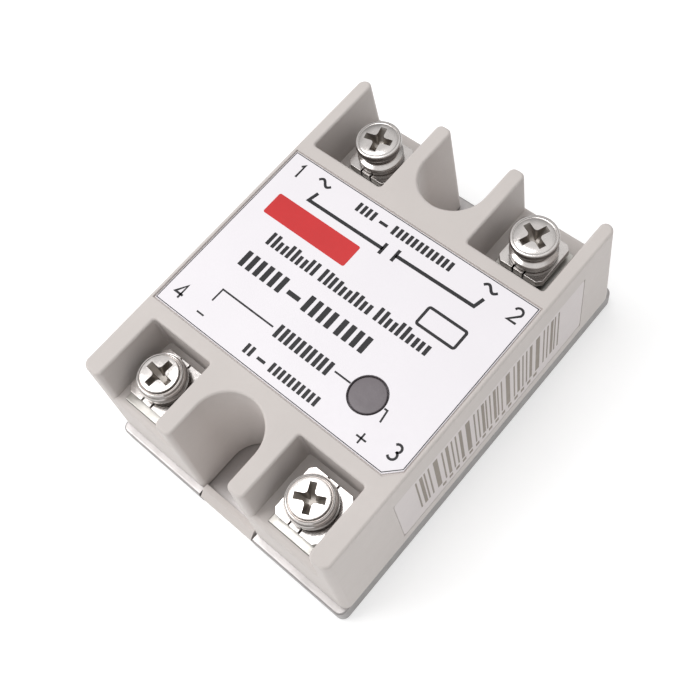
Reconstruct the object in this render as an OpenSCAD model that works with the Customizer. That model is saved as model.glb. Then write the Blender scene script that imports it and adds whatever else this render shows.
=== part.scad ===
// Panel-mount solid state relay: moulded housing on a metal base plate, four screw
// terminals with captive clamps, and the switching circuit inside.
// Millimetres. Origin at the centre of the base plate's underside, +Z up,
// +Y towards the load terminals, +X to the right when the label is read upright.

/* [Overall] */
// Length of the metal base plate along Y
base_length = 62.5; // [61.5:0.1:64]
// Width of the metal base plate along X
base_width = 44.8; // [44:0.1:45]
// Thickness of the metal base plate
base_thickness = 3.0; // [2.6:0.1:3.0]
// Height of the housing's top face above the mounting surface
overall_height = 23.0; // [22.8:0.1:24]
// Length of the housing at its lower edge
housing_length = 60.2; // [60:0.1:60.6]
// Width of the housing at its lower edge
housing_width = 45.0; // [45:0.1:45.4]

/* [Mounting] */
// Distance between the two mounting positions along Y
mount_pitch = 47.5; // [47:0.1:48]
// Diameter of the two mounting holes
mount_hole_d = 4.5; // [4.2:0.1:5]

/* [Housing] */
// How far each end face leans in between the lower edge and the top
end_draft = 0.95; // [0.6:0.05:1.0]
// How far each side face leans in between the lower edge and the top
side_draft = 0.35; // [0.2:0.05:0.5]
// Thickness of the outer walls at the lower edge
wall = 2.1; // [1.8:0.1:2.3]
// Radius of the housing's vertical corners
corner_r = 1.2; // [0.6:0.1:1.5]
// Radius of the corners where walls meet the open ends
tip_r = 0.9; // [0.5:0.1:1.0]
// Height of the load pockets' floor above the mounting surface
load_floor_z = 14.4; // [14.2:0.1:14.6]
// Height of the input pockets' floor above the mounting surface
input_floor_z = 15.6; // [15.4:0.1:15.8]
// Thickness of the pocket floors
floor_thickness = 2.0; // [1.6:0.1:2.2]
// Half width of the notch above each mounting position
notch_r = 5.2; // [4.8:0.1:5.4]

/* [Terminals] */
// Distance of the screw axes from the centre line
terminal_x = 13.8; // [13.6:0.1:14]
// Distance of the load screws from the middle, along Y
load_screw_y = 22.6; // [22.4:0.1:22.8]
// Distance of the input screws from the middle, along Y
input_screw_y = 23.3; // [23.2:0.1:23.5]
// Open height under a clamp as delivered, load side
load_gap = 0.9; // [0.9:0.05:1.0]
// Open height under a clamp as delivered, input side
input_gap = 0.8; // [0.8:0.05:0.9]

/* [Label] */
// Width of the front label
label_width = 42.7; // [42:0.1:42.8]
// Length of the front label along Y
label_length = 29.4; // [28.6:0.1:29.6]
// Size of the cut corner of the front label
label_corner = 1.9; // [1:0.1:3]
// Radius of the indicator window
window_r = 2.75; // [2.2:0.05:3]

/* [Hidden] */

$fn = 64;
eps = 0.01;
cut = 1;

// Heights of the main layers
seal_gap = 0.2;
housing_z = base_thickness + seal_gap;
body_h = overall_height - housing_z;
label_recess = 0.35;
label_z = overall_height - label_recess;
label_t = 0.25;
roof_t = 1.45;
roof_z = label_z - roof_t;

// Half sizes of the housing at its lower edge and at its top
half_w = housing_width / 2;
half_l = housing_length / 2;
top_w = half_w - side_draft;
top_l = half_l - end_draft;
end_angle = atan(end_draft / body_h);
side_angle = atan(side_draft / body_h);

// Pockets: each is open at the top and at its end of the housing
load_pocket = [7.6, 20.1];
load_pocket_y = 15.9;
input_pocket = [8.0, 18.95];
input_pocket_y = 18.2;

// Notches above the mounting positions
mount_y = mount_pitch / 2;
far_notch_y = 23.1;
near_notch_y = mount_y;
notch_wall = 1.9;

// Moulded hook at the input end, hanging in a relief of the base plate
hook_half = 5.1;
hook_out = 31.2;
hook_in = 29.95;
hook_back = 29.3;
hook_top = 3.9;
hook_face = 2.6;
hook_low = 0.3;
relief_half = 5.4;
relief_in = 29.8;

// Label placed a little towards the input end
label_y = -1.07;
label_fit = 0.2;
window_pos = [11.4, -8.95];
side_label_size = [0.1, 39.8, 13.2];
side_label_pos = [0, 2.5, 12.2];
side_recess = 0.12;

// Circuit board
board_t = 1.6;
board_z = 10.2;
board_top = board_z + board_t;
board_half_w = 19.6;
board_far = 19.9;
board_near = 20.9;
post_pos = [18.3, 12.6];
post_near_y = -14.9;
post_r = 1.6;
peg_r = 0.9;
lead_r = 0.3;
lead_hole_r = 0.5;
tail_z = 9.6;

// Terminal plates, the threaded strips the wires are clamped to
load_plate_t = 1.2;
input_plate_t = 1.0;
load_plate_top = load_floor_z + 0.9;
input_plate_top = input_floor_z + 0.4;
load_plate_w = 8.4;
input_plate_w = 7.8;
load_plate_y = [17.6, 26.5];
input_plate_y = [19.4, 28.4];
collar_h = 2.0;
leg_t = 0.8;
leg_w = 4.0;
leg_z = 8.9;

// Screws: radius of shank, head and head's flat, head height and shank length
load_shank_r = 1.95;
input_shank_r = 1.7;
thread_clear = 0.05;
load_head = [3.4, 3.3];
input_head = [3.55, 2.4];
head_flat_r = 2.78;
load_shank_l = 8;
input_shank_l = 6;
recess_r = 2.1;
recess_depth = 2.0;
recess_arm = 1.1;
recess_tip = 0.55;
recess_turn = [15, 67, 27, 85];

// Washers under the screw heads
clamp_load = [7.4, 7.4, 1.2];
clamp_input = [7.7, 8.0, 0.8];
clamp_corner = 0.7;
slit_w = 0.25;
slit_x = 0.87;
slit_load = 1.0;
slit_input = 1.7;
spring_load = [3.35, 2.15, 1.0];
spring_input = [3.1, 1.9, 0.7];
spring_split = 0.5;
spring_lean = 25;
stack_clear = 0.02;

// Triac, flat on its pad
triac_size = [15.6, 15.0, 4.8];
triac_tab = [15.6, 20.0, 1.5];
triac_y = -1.5;
triac_hole_r = 1.6;
pad_t = 0.3;
pad_margin = 0.4;
triac_pitch = 5.45;
triac_lead = [1.2, 0.6];
triac_lead_y = 11;
triac_lead_z = 5.6;
triac_lead_top = 12.6;

// Copper strips under the board
bus_z = 9.1;
bus_t = 0.6;
bus_w = 2.8;

// Board parts: centre positions on the board and body sizes
opto_pos = [0, -2];
opto_size = [8.9, 6.5, 3.4];
opto_row = 3.81;
opto_pitch = 2.54;
cap_pos = [12.2, 7.0];
cap_size = [12.4, 5.4, 8.6];
cap_pitch = 10;
resistor_pos = [-11.6, 7.6];
resistor_body = [1.75, 9];
resistor_span = 13;
gate_pos = [-11.6, 2.8];
input_res_pos = [-11.6, -11.2];
diode_pos = [-11.6, -5.6];
small_body = [1.15, 6.3];
diode_body = [1.3, 5.0];
small_span = 10.16;
transistor_pos = [1.5, -12.2];
transistor_r = 2.4;
transistor_h = 4.8;
transistor_flat = 1.4;
led_r = 1.5;
led_flange = [1.9, 1.0];
led_z = 15.2;
led_body = 3.6;
led_pitch = 2.54;

function side_x(i) = (i == 1 || i == 4) ? -1 : 1;
function is_load(i) = i <= 2;
function screw_pos(i) = [side_x(i) * terminal_x, is_load(i) ? load_screw_y : -input_screw_y];
function plate_top(i) = is_load(i) ? load_plate_top : input_plate_top;
function gap(i) = is_load(i) ? load_gap : input_gap;
function clamp(i) = is_load(i) ? clamp_load : clamp_input;
function spring(i) = is_load(i) ? spring_load : spring_input;
function head(i) = is_load(i) ? load_head : input_head;
function shank_r(i) = is_load(i) ? load_shank_r : input_shank_r;
function shank_l(i) = is_load(i) ? load_shank_l : input_shank_l;
function clamp_z(i) = plate_top(i) + gap(i);
function spring_z(i) = clamp_z(i) + clamp(i)[2] + stack_clear;
function head_z(i) = spring_z(i) + spring(i)[2] + stack_clear;

// Axial parts as [centre, lead span], for the board's holes
axial_parts = [[resistor_pos, resistor_span], [gate_pos, small_span],
               [input_res_pos, small_span], [diode_pos, small_span]];

// ---------- shared shapes ----------

// Upright block with rounded vertical edges, standing on z = 0
module rounded_block(w, l, h, r) {
    translate([-w / 2 + r, -l / 2, 0]) cube([w - 2 * r, l, h]);
    translate([-w / 2, -l / 2 + r, 0]) cube([w, l - 2 * r, h]);
    for (x = [-1, 1])
        for (y = [-1, 1])
            translate([x * (w / 2 - r), y * (l / 2 - r), 0]) cylinder(r = r, h = h);
}

// What is taken off a vertical edge at the origin whose solid lies towards -X -Y, going down
module edge_round(r, h) {
    difference() {
        translate([-r, -r, -h]) cube([r + cut, r + cut, h + cut]);
        translate([-r, -r, -h - cut]) cylinder(r = r, h = h + 3 * cut);
    }
}

// Phillips recess, mouth on z = 0
module cross_recess() {
    intersection() {
        translate([0, 0, -recess_depth])
            cylinder(r1 = recess_tip, r2 = recess_r, h = recess_depth + eps);
        union() {
            for (a = [0, 90])
                rotate([0, 0, a])
                    translate([-recess_r - cut, -recess_arm / 2, -recess_depth - cut])
                        cube([2 * (recess_r + cut), recess_arm, recess_depth + 2 * cut]);
        }
    }
}

// Axial part lying along X on the board, leads bent down through it
module axial_part(body_r, body_l, span, lift) {
    translate([-body_l / 2, 0, lift]) rotate([0, 90, 0]) cylinder(r = body_r, h = body_l);
    translate([-span / 2 - lead_r, 0, lift])
        rotate([0, 90, 0]) cylinder(r = lead_r, h = span + 2 * lead_r);
    for (s = [-1, 1])
        translate([s * span / 2, 0, tail_z - board_top])
            cylinder(r = lead_r, h = lift + board_top - tail_z);
}

// ---------- housing ----------

module outer_block() {
    intersection() {
        rotate([90, 0, 0])
            translate([0, 0, -half_l - cut])
                linear_extrude(height = 2 * (half_l + cut))
                    polygon([[-half_w, housing_z], [half_w, housing_z],
                             [top_w, overall_height], [-top_w, overall_height]]);
        rotate([90, 0, 90])
            translate([0, 0, -half_w - cut])
                linear_extrude(height = 2 * (half_w + cut))
                    polygon([[-half_l, housing_z], [half_l, housing_z],
                             [top_l, overall_height], [-top_l, overall_height]]);
    }
}

// Solid kept around a notch inside the hollow, notch towards +Y
module notch_boss(y, r) {
    translate([0, y, 0]) cylinder(r = r + notch_wall, h = overall_height);
    translate([-r - notch_wall, y, 0]) cube([2 * (r + notch_wall), half_l, overall_height]);
}

// Open notch for the mounting screw and driver, mouth towards +Y
module notch_cut(y, r) {
    translate([0, y, 0]) cylinder(r = r, h = overall_height + cut);
    translate([-r, y, 0]) cube([2 * r, half_l, overall_height + cut]);
}

module hollow() {
    in_w = half_w - wall;
    in_l = half_l - wall;
    mid_w = in_w - 0.2;
    mid_far = load_pocket_y - 1.5;
    mid_near = input_pocket_y - 1.5;
    difference() {
        union() {
            translate([-in_w, -in_l, 0])
                cube([2 * in_w, 2 * in_l, load_floor_z - floor_thickness]);
            translate([-in_w, -in_l, 0])
                cube([2 * in_w, in_l, input_floor_z - floor_thickness]);
            translate([-mid_w, -mid_near, 0]) cube([2 * mid_w, mid_near + mid_far, roof_z]);
        }
        notch_boss(far_notch_y, notch_r);
        mirror([0, 1, 0]) notch_boss(near_notch_y, notch_r);
    }
}

// Everything removed above and below the floor of one terminal pocket
module pocket_cut(i) {
    s = side_x(i);
    load = is_load(i);
    p = load ? load_pocket : input_pocket;
    y0 = load ? load_pocket_y : input_pocket_y;
    floor_z = load ? load_floor_z : input_floor_z;
    py = load ? load_plate_y : input_plate_y;
    pw = load ? load_plate_w : input_plate_w;
    t = load ? load_plate_t : input_plate_t;
    fit = 0.1;
    mirror([s < 0 ? 1 : 0, 0, 0])
        mirror([0, load ? 0 : 1, 0]) {
            translate([p[0], y0, floor_z])
                cube([p[1] - p[0], half_l, overall_height]);
            translate([terminal_x - pw / 2 - fit, py[0] - fit, plate_top(i) - t])
                cube([pw + 2 * fit, py[1] - py[0] + 2 * fit, t + cut]);
            translate([terminal_x, load ? load_screw_y : input_screw_y, 0])
                cylinder(r = shank_r(i) + 1.5, h = floor_z);
            translate([terminal_x - leg_w / 2 - fit, py[0] - fit, leg_z])
                cube([leg_w + 2 * fit, leg_t + 2 * fit, floor_z - leg_z]);
        }
}

// Rounded wall ends beside the pockets and the notch, at the +Y end
module tip_rounding(pocket, floor_z) {
    h = overall_height - floor_z;
    for (m = [0, 1])
        mirror([m, 0, 0])
            translate([0, top_l, overall_height])
                rotate([end_angle, 0, 0]) {
                    translate([pocket[1], 0, 0]) mirror([1, 0, 0]) edge_round(tip_r, h);
                    translate([pocket[0], 0, 0]) edge_round(tip_r, h);
                    translate([notch_r, 0, 0]) mirror([1, 0, 0]) edge_round(tip_r, body_h);
                }
}

// Two of the four vertical corners, at the +Y end
module corner_rounding() {
    for (m = [0, 1])
        mirror([m, 0, 0])
            translate([top_w, top_l, overall_height])
                rotate([end_angle, -side_angle, 0])
                    edge_round(corner_r, body_h + cut);
}

module label_outline(grow) {
    w = label_width / 2 + grow;
    l = label_length / 2 + grow;
    c = label_corner;
    polygon([[-w, -l], [w - c, -l], [w, -l + c], [w, l], [-w, l]]);
}

module side_label_block(size) {
    x = top_w + (overall_height - side_label_pos[2]) * tan(side_angle);
    translate([x, side_label_pos[1], side_label_pos[2]])
        rotate([0, -side_angle, 0])
            translate([-size[0], -size[1] / 2, -size[2] / 2]) children();
}

module hook() {
    rotate([90, 0, 90])
        translate([0, 0, -hook_half])
            linear_extrude(height = 2 * hook_half)
                polygon([[-hook_back, housing_z - 0.15], [-hook_back, hook_top],
                         [-hook_in + 0.05, hook_top], [-hook_out, hook_face],
                         [-hook_out, hook_low], [-hook_in, hook_low],
                         [-hook_in, housing_z - 0.15]]);
    translate([-hook_half - 0.5, -hook_in, housing_z])
        cube([2 * hook_half + 1, hook_in - hook_back, hook_top - housing_z]);
}

module housing() {
    color([0.78, 0.78, 0.74]) {
        difference() {
            outer_block();
            hollow();
            notch_cut(far_notch_y, notch_r);
            mirror([0, 1, 0]) notch_cut(near_notch_y, notch_r);
            for (i = [1 : 4]) pocket_cut(i);
            corner_rounding();
            mirror([0, 1, 0]) corner_rounding();
            tip_rounding(load_pocket, load_floor_z);
            mirror([0, 1, 0]) tip_rounding(input_pocket, input_floor_z);
            translate([0, label_y, label_z])
                linear_extrude(height = cut) label_outline(label_fit);
            translate([window_pos[0], window_pos[1], 0])
                cylinder(r = window_r + 0.03, h = overall_height);
            side_label_block([side_recess, side_label_size[1] + 0.2, side_label_size[2] + 0.2])
                cube([side_recess + cut, side_label_size[1] + 0.2, side_label_size[2] + 0.2]);
        }
        hook();
        for (x = [-1, 1])
            for (y = [post_pos[1], post_near_y]) {
                translate([x * post_pos[0], y, board_top])
                    cylinder(r = post_r, h = roof_z - board_top + eps);
                translate([x * post_pos[0], y, board_z - 0.3])
                    cylinder(r = peg_r, h = board_t + 0.3 + eps);
            }
    }
}

// ---------- base plate and what lies on it ----------

module base_plate() {
    color([0.80, 0.80, 0.81])
        difference() {
            rounded_block(base_width, base_length, base_thickness, corner_r);
            translate([0, -mount_y, -cut])
                cylinder(r = mount_hole_d / 2, h = base_thickness + 2 * cut);
            translate([0, mount_y, -cut])
                cylinder(r = mount_hole_d / 2, h = base_thickness + 2 * cut);
            translate([-relief_half, -base_length, -cut])
                cube([2 * relief_half, base_length - relief_in, base_thickness + 2 * cut]);
        }
}

module sealing_bead() {
    outside = 0.5;
    inside = 1.7;
    color([0.12, 0.12, 0.12])
        translate([0, 0, base_thickness])
            difference() {
                rounded_block(housing_width - 2 * outside, housing_length - 2 * outside,
                              seal_gap, corner_r);
                translate([0, 0, -cut])
                    rounded_block(housing_width - 2 * inside, housing_length - 2 * inside,
                                  seal_gap + 2 * cut, corner_r / 2);
                translate([-notch_r - 0.6, -half_l - cut, -cut])
                    cube([2 * (notch_r + 0.6), housing_length + 2 * cut, seal_gap + 2 * cut]);
            }
}

module thermal_pad() {
    color([0.86, 0.86, 0.88])
        translate([-triac_tab[0] / 2 - pad_margin, triac_y - triac_tab[1] / 2 - pad_margin,
                   base_thickness])
            cube([triac_tab[0] + 2 * pad_margin, triac_tab[1] + 2 * pad_margin, pad_t]);
}

module triac() {
    z = base_thickness + pad_t;
    front = triac_y + triac_tab[1] / 2;
    color([0.10, 0.10, 0.11]) {
        difference() {
            translate([-triac_tab[0] / 2, triac_y - triac_tab[1] / 2, z]) cube(triac_tab);
            translate([0, triac_y - triac_tab[1] / 2 + 3, z - cut])
                cylinder(r = triac_hole_r, h = triac_tab[2] + 2 * cut);
        }
        translate([-triac_size[0] / 2, front - triac_size[1], z]) cube(triac_size);
    }
}

module triac_leads() {
    front = triac_y + triac_tab[1] / 2;
    color([0.82, 0.80, 0.76])
        for (k = [-1, 0, 1])
            translate([k * triac_pitch - triac_lead[0] / 2, 0, 0]) {
                translate([0, front, triac_lead_z])
                    cube([triac_lead[0], triac_lead_y - front + triac_lead[1] / 2,
                          triac_lead[1]]);
                translate([0, triac_lead_y - triac_lead[1] / 2, triac_lead_z])
                    cube([triac_lead[0], triac_lead[1], triac_lead_top - triac_lead_z]);
            }
}

// Strip under the board from a load terminal's leg to one lead of the triac
module load_bus(s, reach_x, run_y) {
    leg_y = load_plate_y[0] + leg_t / 2;
    far = leg_y + 1.2;
    bottom = min(run_y, triac_lead_y) - bus_w / 2;
    difference() {
        translate([0, 0, bus_z])
            mirror([s < 0 ? 1 : 0, 0, 0]) {
                translate([terminal_x - leg_w / 2 - 0.6, run_y - bus_w / 2, 0])
                    cube([leg_w + 1.2, far - run_y + bus_w / 2, bus_t]);
                translate([reach_x - bus_w / 2, run_y - bus_w / 2, 0])
                    cube([terminal_x - reach_x + bus_w / 2, bus_w, bus_t]);
                translate([reach_x - bus_w / 2, bottom, 0])
                    cube([bus_w, run_y - bottom, bus_t]);
            }
        translate([s * terminal_x - leg_w / 2 - 0.1, load_plate_y[0] - 0.1, bus_z - cut])
            cube([leg_w + 0.2, leg_t + 0.2, bus_t + 2 * cut]);
        translate([s * reach_x - triac_lead[0] / 2 - 0.1,
                   triac_lead_y - triac_lead[1] / 2 - 0.1, bus_z - cut])
            cube([triac_lead[0] + 0.2, triac_lead[1] + 0.2, bus_t + 2 * cut]);
    }
}

module load_bus_1() {
    color([0.78, 0.47, 0.28]) load_bus(-1, triac_pitch, triac_lead_y);
}

module load_bus_2() {
    color([0.78, 0.47, 0.28]) load_bus(1, 0, triac_lead_y + 3.1);
}

// ---------- circuit board and its parts ----------

module circuit_board() {
    color([0.10, 0.36, 0.20])
        difference() {
            translate([-board_half_w, -board_near, board_z])
                cube([2 * board_half_w, board_near + board_far, board_t]);
            translate([0, 0, -cut]) notch_boss(far_notch_y, notch_r + 0.4);
            mirror([0, 1, 0]) translate([0, 0, -cut]) notch_boss(near_notch_y, notch_r + 0.4);
            for (x = [-1, 1])
                for (y = [post_pos[1], post_near_y])
                    translate([x * post_pos[0], y, board_z - cut])
                        cylinder(r = peg_r + 0.1, h = board_t + 2 * cut);
            for (x = [-1, 1]) {
                translate([x * terminal_x - leg_w / 2 - 0.1, load_plate_y[0] - 0.1, board_z - cut])
                    cube([leg_w + 0.2, leg_t + 0.2, board_t + 2 * cut]);
                translate([x * terminal_x - leg_w / 2 - 0.1, -input_plate_y[0] - leg_t - 0.1,
                           board_z - cut])
                    cube([leg_w + 0.2, leg_t + 0.2, board_t + 2 * cut]);
            }
            for (k = [-1, 0, 1])
                translate([k * triac_pitch, triac_lead_y, board_z - cut])
                    cylinder(r = 0.8, h = board_t + 2 * cut);
            for (p = axial_parts)
                for (s = [-1, 1])
                    translate([p[0][0] + s * p[1] / 2, p[0][1], board_z - cut])
                        cylinder(r = lead_hole_r, h = board_t + 2 * cut);
            for (s = [-1, 1]) {
                translate([cap_pos[0] + s * cap_pitch / 2, cap_pos[1], board_z - cut])
                    cylinder(r = lead_hole_r, h = board_t + 2 * cut);
                translate([window_pos[0] + s * led_pitch / 2, window_pos[1], board_z - cut])
                    cylinder(r = lead_hole_r, h = board_t + 2 * cut);
                for (k = [-1, 0, 1])
                    translate([opto_pos[0] + k * opto_pitch, opto_pos[1] + s * opto_row,
                               board_z - cut])
                        cylinder(r = lead_hole_r, h = board_t + 2 * cut);
            }
            for (k = [-1, 0, 1])
                translate([transistor_pos[0] + k * opto_pitch / 2, transistor_pos[1],
                           board_z - cut])
                    cylinder(r = lead_hole_r, h = board_t + 2 * cut);
        }
}

module optocoupler() {
    lift = 0.6;
    pin = 0.5;
    color([0.14, 0.14, 0.15])
        translate([opto_pos[0], opto_pos[1], board_top]) {
            difference() {
                translate([-opto_size[0] / 2, -opto_size[1] / 2, lift]) cube(opto_size);
                translate([-opto_size[0] / 2 + 1.2, -1.6, lift + opto_size[2] - 0.3])
                    cylinder(r = 0.5, h = cut);
            }
            for (s = [-1, 1])
                for (k = [-1, 0, 1]) {
                    translate([k * opto_pitch - pin / 2, s * opto_row - pin / 2,
                               tail_z - board_top])
                        cube([pin, pin, lift + 1.6 - tail_z + board_top]);
                    translate([k * opto_pitch - pin / 2,
                               s > 0 ? opto_size[1] / 2 - eps : -opto_row - pin / 2, lift + 1.1])
                        cube([pin, opto_row - opto_size[1] / 2 + pin / 2 + eps, pin]);
                }
        }
}

module snubber_capacitor() {
    color([0.72, 0.60, 0.20])
        translate([cap_pos[0], cap_pos[1], board_top]) {
            translate([-cap_size[0] / 2, -cap_size[1] / 2, 0.1]) cube(cap_size);
            for (s = [-1, 1])
                translate([s * cap_pitch / 2, 0, tail_z - board_top])
                    cylinder(r = lead_r, h = board_top - tail_z + 0.2);
        }
}

module snubber_resistor() {
    color([0.62, 0.66, 0.70])
        translate([resistor_pos[0], resistor_pos[1], board_top])
            axial_part(resistor_body[0], resistor_body[1], resistor_span, 2.0);
}

module gate_resistor() {
    color([0.76, 0.66, 0.50])
        translate([gate_pos[0], gate_pos[1], board_top])
            axial_part(small_body[0], small_body[1], small_span, 1.4);
}

module input_resistor() {
    color([0.76, 0.66, 0.50])
        translate([input_res_pos[0], input_res_pos[1], board_top])
            axial_part(small_body[0], small_body[1], small_span, 1.4);
}

module input_diode() {
    color([0.12, 0.12, 0.12])
        translate([diode_pos[0], diode_pos[1], board_top])
            axial_part(diode_body[0], diode_body[1], small_span, 1.5);
}

module input_transistor() {
    lift = 1.5;
    color([0.10, 0.10, 0.10])
        translate([transistor_pos[0], transistor_pos[1], board_top]) {
            difference() {
                translate([0, 0, lift]) cylinder(r = transistor_r, h = transistor_h);
                translate([-transistor_r, transistor_flat, lift - cut])
                    cube([2 * transistor_r, transistor_r, transistor_h + 2 * cut]);
            }
            for (k = [-1, 0, 1])
                translate([k * opto_pitch / 2, 0, tail_z - board_top])
                    cylinder(r = lead_r, h = board_top - tail_z + lift + eps);
        }
}

module indicator_led() {
    color([0.80, 0.16, 0.12])
        translate([window_pos[0], window_pos[1], 0]) {
            translate([0, 0, led_z]) cylinder(r = led_flange[0], h = led_flange[1]);
            translate([0, 0, led_z]) cylinder(r = led_r, h = led_body);
            translate([0, 0, led_z + led_body]) sphere(r = led_r);
            for (s = [-1, 1])
                translate([s * led_pitch / 2, 0, tail_z])
                    cylinder(r = lead_r, h = led_z - tail_z + eps);
        }
}

// ---------- labels and window ----------

module front_label() {
    color([0.95, 0.95, 0.96])
        difference() {
            translate([0, label_y, label_z])
                linear_extrude(height = label_t) label_outline(0);
            translate([window_pos[0], window_pos[1], label_z - cut])
                cylinder(r = window_r + 0.03, h = label_t + 2 * cut);
        }
}

module side_label() {
    color([0.93, 0.93, 0.92])
        side_label_block([side_recess, side_label_size[1], side_label_size[2]])
            cube(side_label_size);
}

module led_window() {
    color([0.30, 0.29, 0.29]) {
        translate([window_pos[0], window_pos[1], roof_z - 0.5])
            cylinder(r = window_r, h = label_z + label_t - roof_z + 0.5);
        translate([window_pos[0], window_pos[1], roof_z - 0.6])
            cylinder(r = window_r + 0.7, h = 0.6 - 0.02);
    }
}

// ---------- terminals ----------

module terminal_plate(i) {
    s = side_x(i);
    load = is_load(i);
    py = load ? load_plate_y : input_plate_y;
    pw = load ? load_plate_w : input_plate_w;
    t = load ? load_plate_t : input_plate_t;
    top = plate_top(i);
    y = load ? load_screw_y : input_screw_y;
    translate([s * terminal_x, 0, 0])
        mirror([0, load ? 0 : 1, 0])
            difference() {
                union() {
                    translate([-pw / 2, py[0], top - t]) cube([pw, py[1] - py[0], t]);
                    translate([0, y, top - t - collar_h])
                        cylinder(r = shank_r(i) + 1.2, h = collar_h + eps);
                    translate([-leg_w / 2, py[0], leg_z]) cube([leg_w, leg_t, top - leg_z]);
                }
                translate([0, y, leg_z])
                    cylinder(r = shank_r(i) + thread_clear, h = top - leg_z + cut);
            }
}

module clamp_washer(i) {
    c = clamp(i);
    p = screw_pos(i);
    w = c[0] / 2;
    l = c[1] / 2;
    k = clamp_corner;
    slit = is_load(i) ? slit_load : slit_input;
    translate([p[0], p[1], clamp_z(i)])
        difference() {
            linear_extrude(height = c[2])
                polygon([[-w + k, -l], [w - k, -l], [w, -l + k], [w, l - k],
                         [w - k, l], [-w + k, l], [-w, l - k], [-w, -l + k]]);
            translate([0, 0, -cut]) cylinder(r = shank_r(i) + 0.2, h = c[2] + 2 * cut);
            for (x = [-1, 1])
                for (y = [-1, 1])
                    translate([x * slit_x - slit_w / 2, y > 0 ? l - slit : -l - cut, -cut])
                        cube([slit_w, slit + cut, c[2] + 2 * cut]);
        }
}

module spring_washer(i) {
    w = spring(i);
    p = screw_pos(i);
    translate([p[0], p[1], spring_z(i)])
        rotate([0, 0, recess_turn[i - 1] + 40])
            difference() {
                cylinder(r = w[0], h = w[2]);
                translate([0, 0, -cut]) cylinder(r = w[1], h = w[2] + 2 * cut);
                translate([0, 0, w[2] / 2])
                    rotate([spring_lean, 0, 0])
                        translate([0, -spring_split / 2, -2 * w[2]])
                            cube([w[0] + cut, spring_split, 4 * w[2]]);
            }
}

module terminal_screw(i) {
    h = head(i);
    p = screw_pos(i);
    bevel = h[0] - head_flat_r;
    tip = 0.5;
    translate([p[0], p[1], head_z(i)])
        rotate([0, 0, recess_turn[i - 1]])
            difference() {
                union() {
                    cylinder(r = h[0], h = h[1] - bevel);
                    translate([0, 0, h[1] - bevel])
                        cylinder(r1 = h[0], r2 = head_flat_r, h = bevel);
                    translate([0, 0, tip - shank_l(i)])
                        cylinder(r = shank_r(i), h = shank_l(i) - tip + eps);
                    translate([0, 0, -shank_l(i)])
                        cylinder(r1 = shank_r(i) - tip, r2 = shank_r(i), h = tip);
                }
                translate([0, 0, h[1]]) cross_recess();
            }
}

module terminal_plate_1() { color([0.84, 0.84, 0.82]) terminal_plate(1); }
module terminal_plate_2() { color([0.84, 0.84, 0.82]) terminal_plate(2); }
module terminal_plate_3() { color([0.84, 0.84, 0.82]) terminal_plate(3); }
module terminal_plate_4() { color([0.84, 0.84, 0.82]) terminal_plate(4); }
module clamp_washer_1() { color([0.88, 0.87, 0.84]) clamp_washer(1); }
module clamp_washer_2() { color([0.88, 0.87, 0.84]) clamp_washer(2); }
module clamp_washer_3() { color([0.88, 0.87, 0.84]) clamp_washer(3); }
module clamp_washer_4() { color([0.88, 0.87, 0.84]) clamp_washer(4); }
module spring_washer_1() { color([0.80, 0.80, 0.79]) spring_washer(1); }
module spring_washer_2() { color([0.80, 0.80, 0.79]) spring_washer(2); }
module spring_washer_3() { color([0.80, 0.80, 0.79]) spring_washer(3); }
module spring_washer_4() { color([0.80, 0.80, 0.79]) spring_washer(4); }
module terminal_screw_1() { color([0.90, 0.89, 0.86]) terminal_screw(1); }
module terminal_screw_2() { color([0.90, 0.89, 0.86]) terminal_screw(2); }
module terminal_screw_3() { color([0.90, 0.89, 0.86]) terminal_screw(3); }
module terminal_screw_4() { color([0.90, 0.89, 0.86]) terminal_screw(4); }

// ---------- assembly ----------

housing();
base_plate();
sealing_bead();
front_label();
side_label();
led_window();
thermal_pad();
triac();
triac_leads();
circuit_board();
load_bus_1();
load_bus_2();
optocoupler();
snubber_capacitor();
snubber_resistor();
gate_resistor();
input_resistor();
input_diode();
input_transistor();
indicator_led();
terminal_plate_1();
terminal_plate_2();
terminal_plate_3();
terminal_plate_4();
clamp_washer_1();
clamp_washer_2();
clamp_washer_3();
clamp_washer_4();
spring_washer_1();
spring_washer_2();
spring_washer_3();
spring_washer_4();
terminal_screw_1();
terminal_screw_2();
terminal_screw_3();
terminal_screw_4();
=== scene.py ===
# Solid state relay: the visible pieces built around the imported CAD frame.
# Shapes are built in millimetres in the CAD's own frame, then scaled to metres.
import math

import bmesh
import bpy
from mathutils import Matrix, Vector


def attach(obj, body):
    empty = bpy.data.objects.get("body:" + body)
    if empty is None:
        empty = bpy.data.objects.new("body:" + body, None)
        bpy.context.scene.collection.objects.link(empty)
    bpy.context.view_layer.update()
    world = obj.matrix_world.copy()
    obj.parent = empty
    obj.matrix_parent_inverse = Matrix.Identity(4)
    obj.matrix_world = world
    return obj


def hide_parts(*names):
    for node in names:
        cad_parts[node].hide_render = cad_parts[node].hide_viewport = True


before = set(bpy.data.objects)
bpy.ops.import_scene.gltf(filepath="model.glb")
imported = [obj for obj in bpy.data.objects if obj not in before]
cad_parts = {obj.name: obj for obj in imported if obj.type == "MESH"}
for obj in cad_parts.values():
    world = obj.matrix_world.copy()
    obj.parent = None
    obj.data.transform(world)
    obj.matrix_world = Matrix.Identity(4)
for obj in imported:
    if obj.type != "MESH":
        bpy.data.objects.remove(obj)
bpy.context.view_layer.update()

MM = 0.001
TAU = 2 * math.pi

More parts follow.
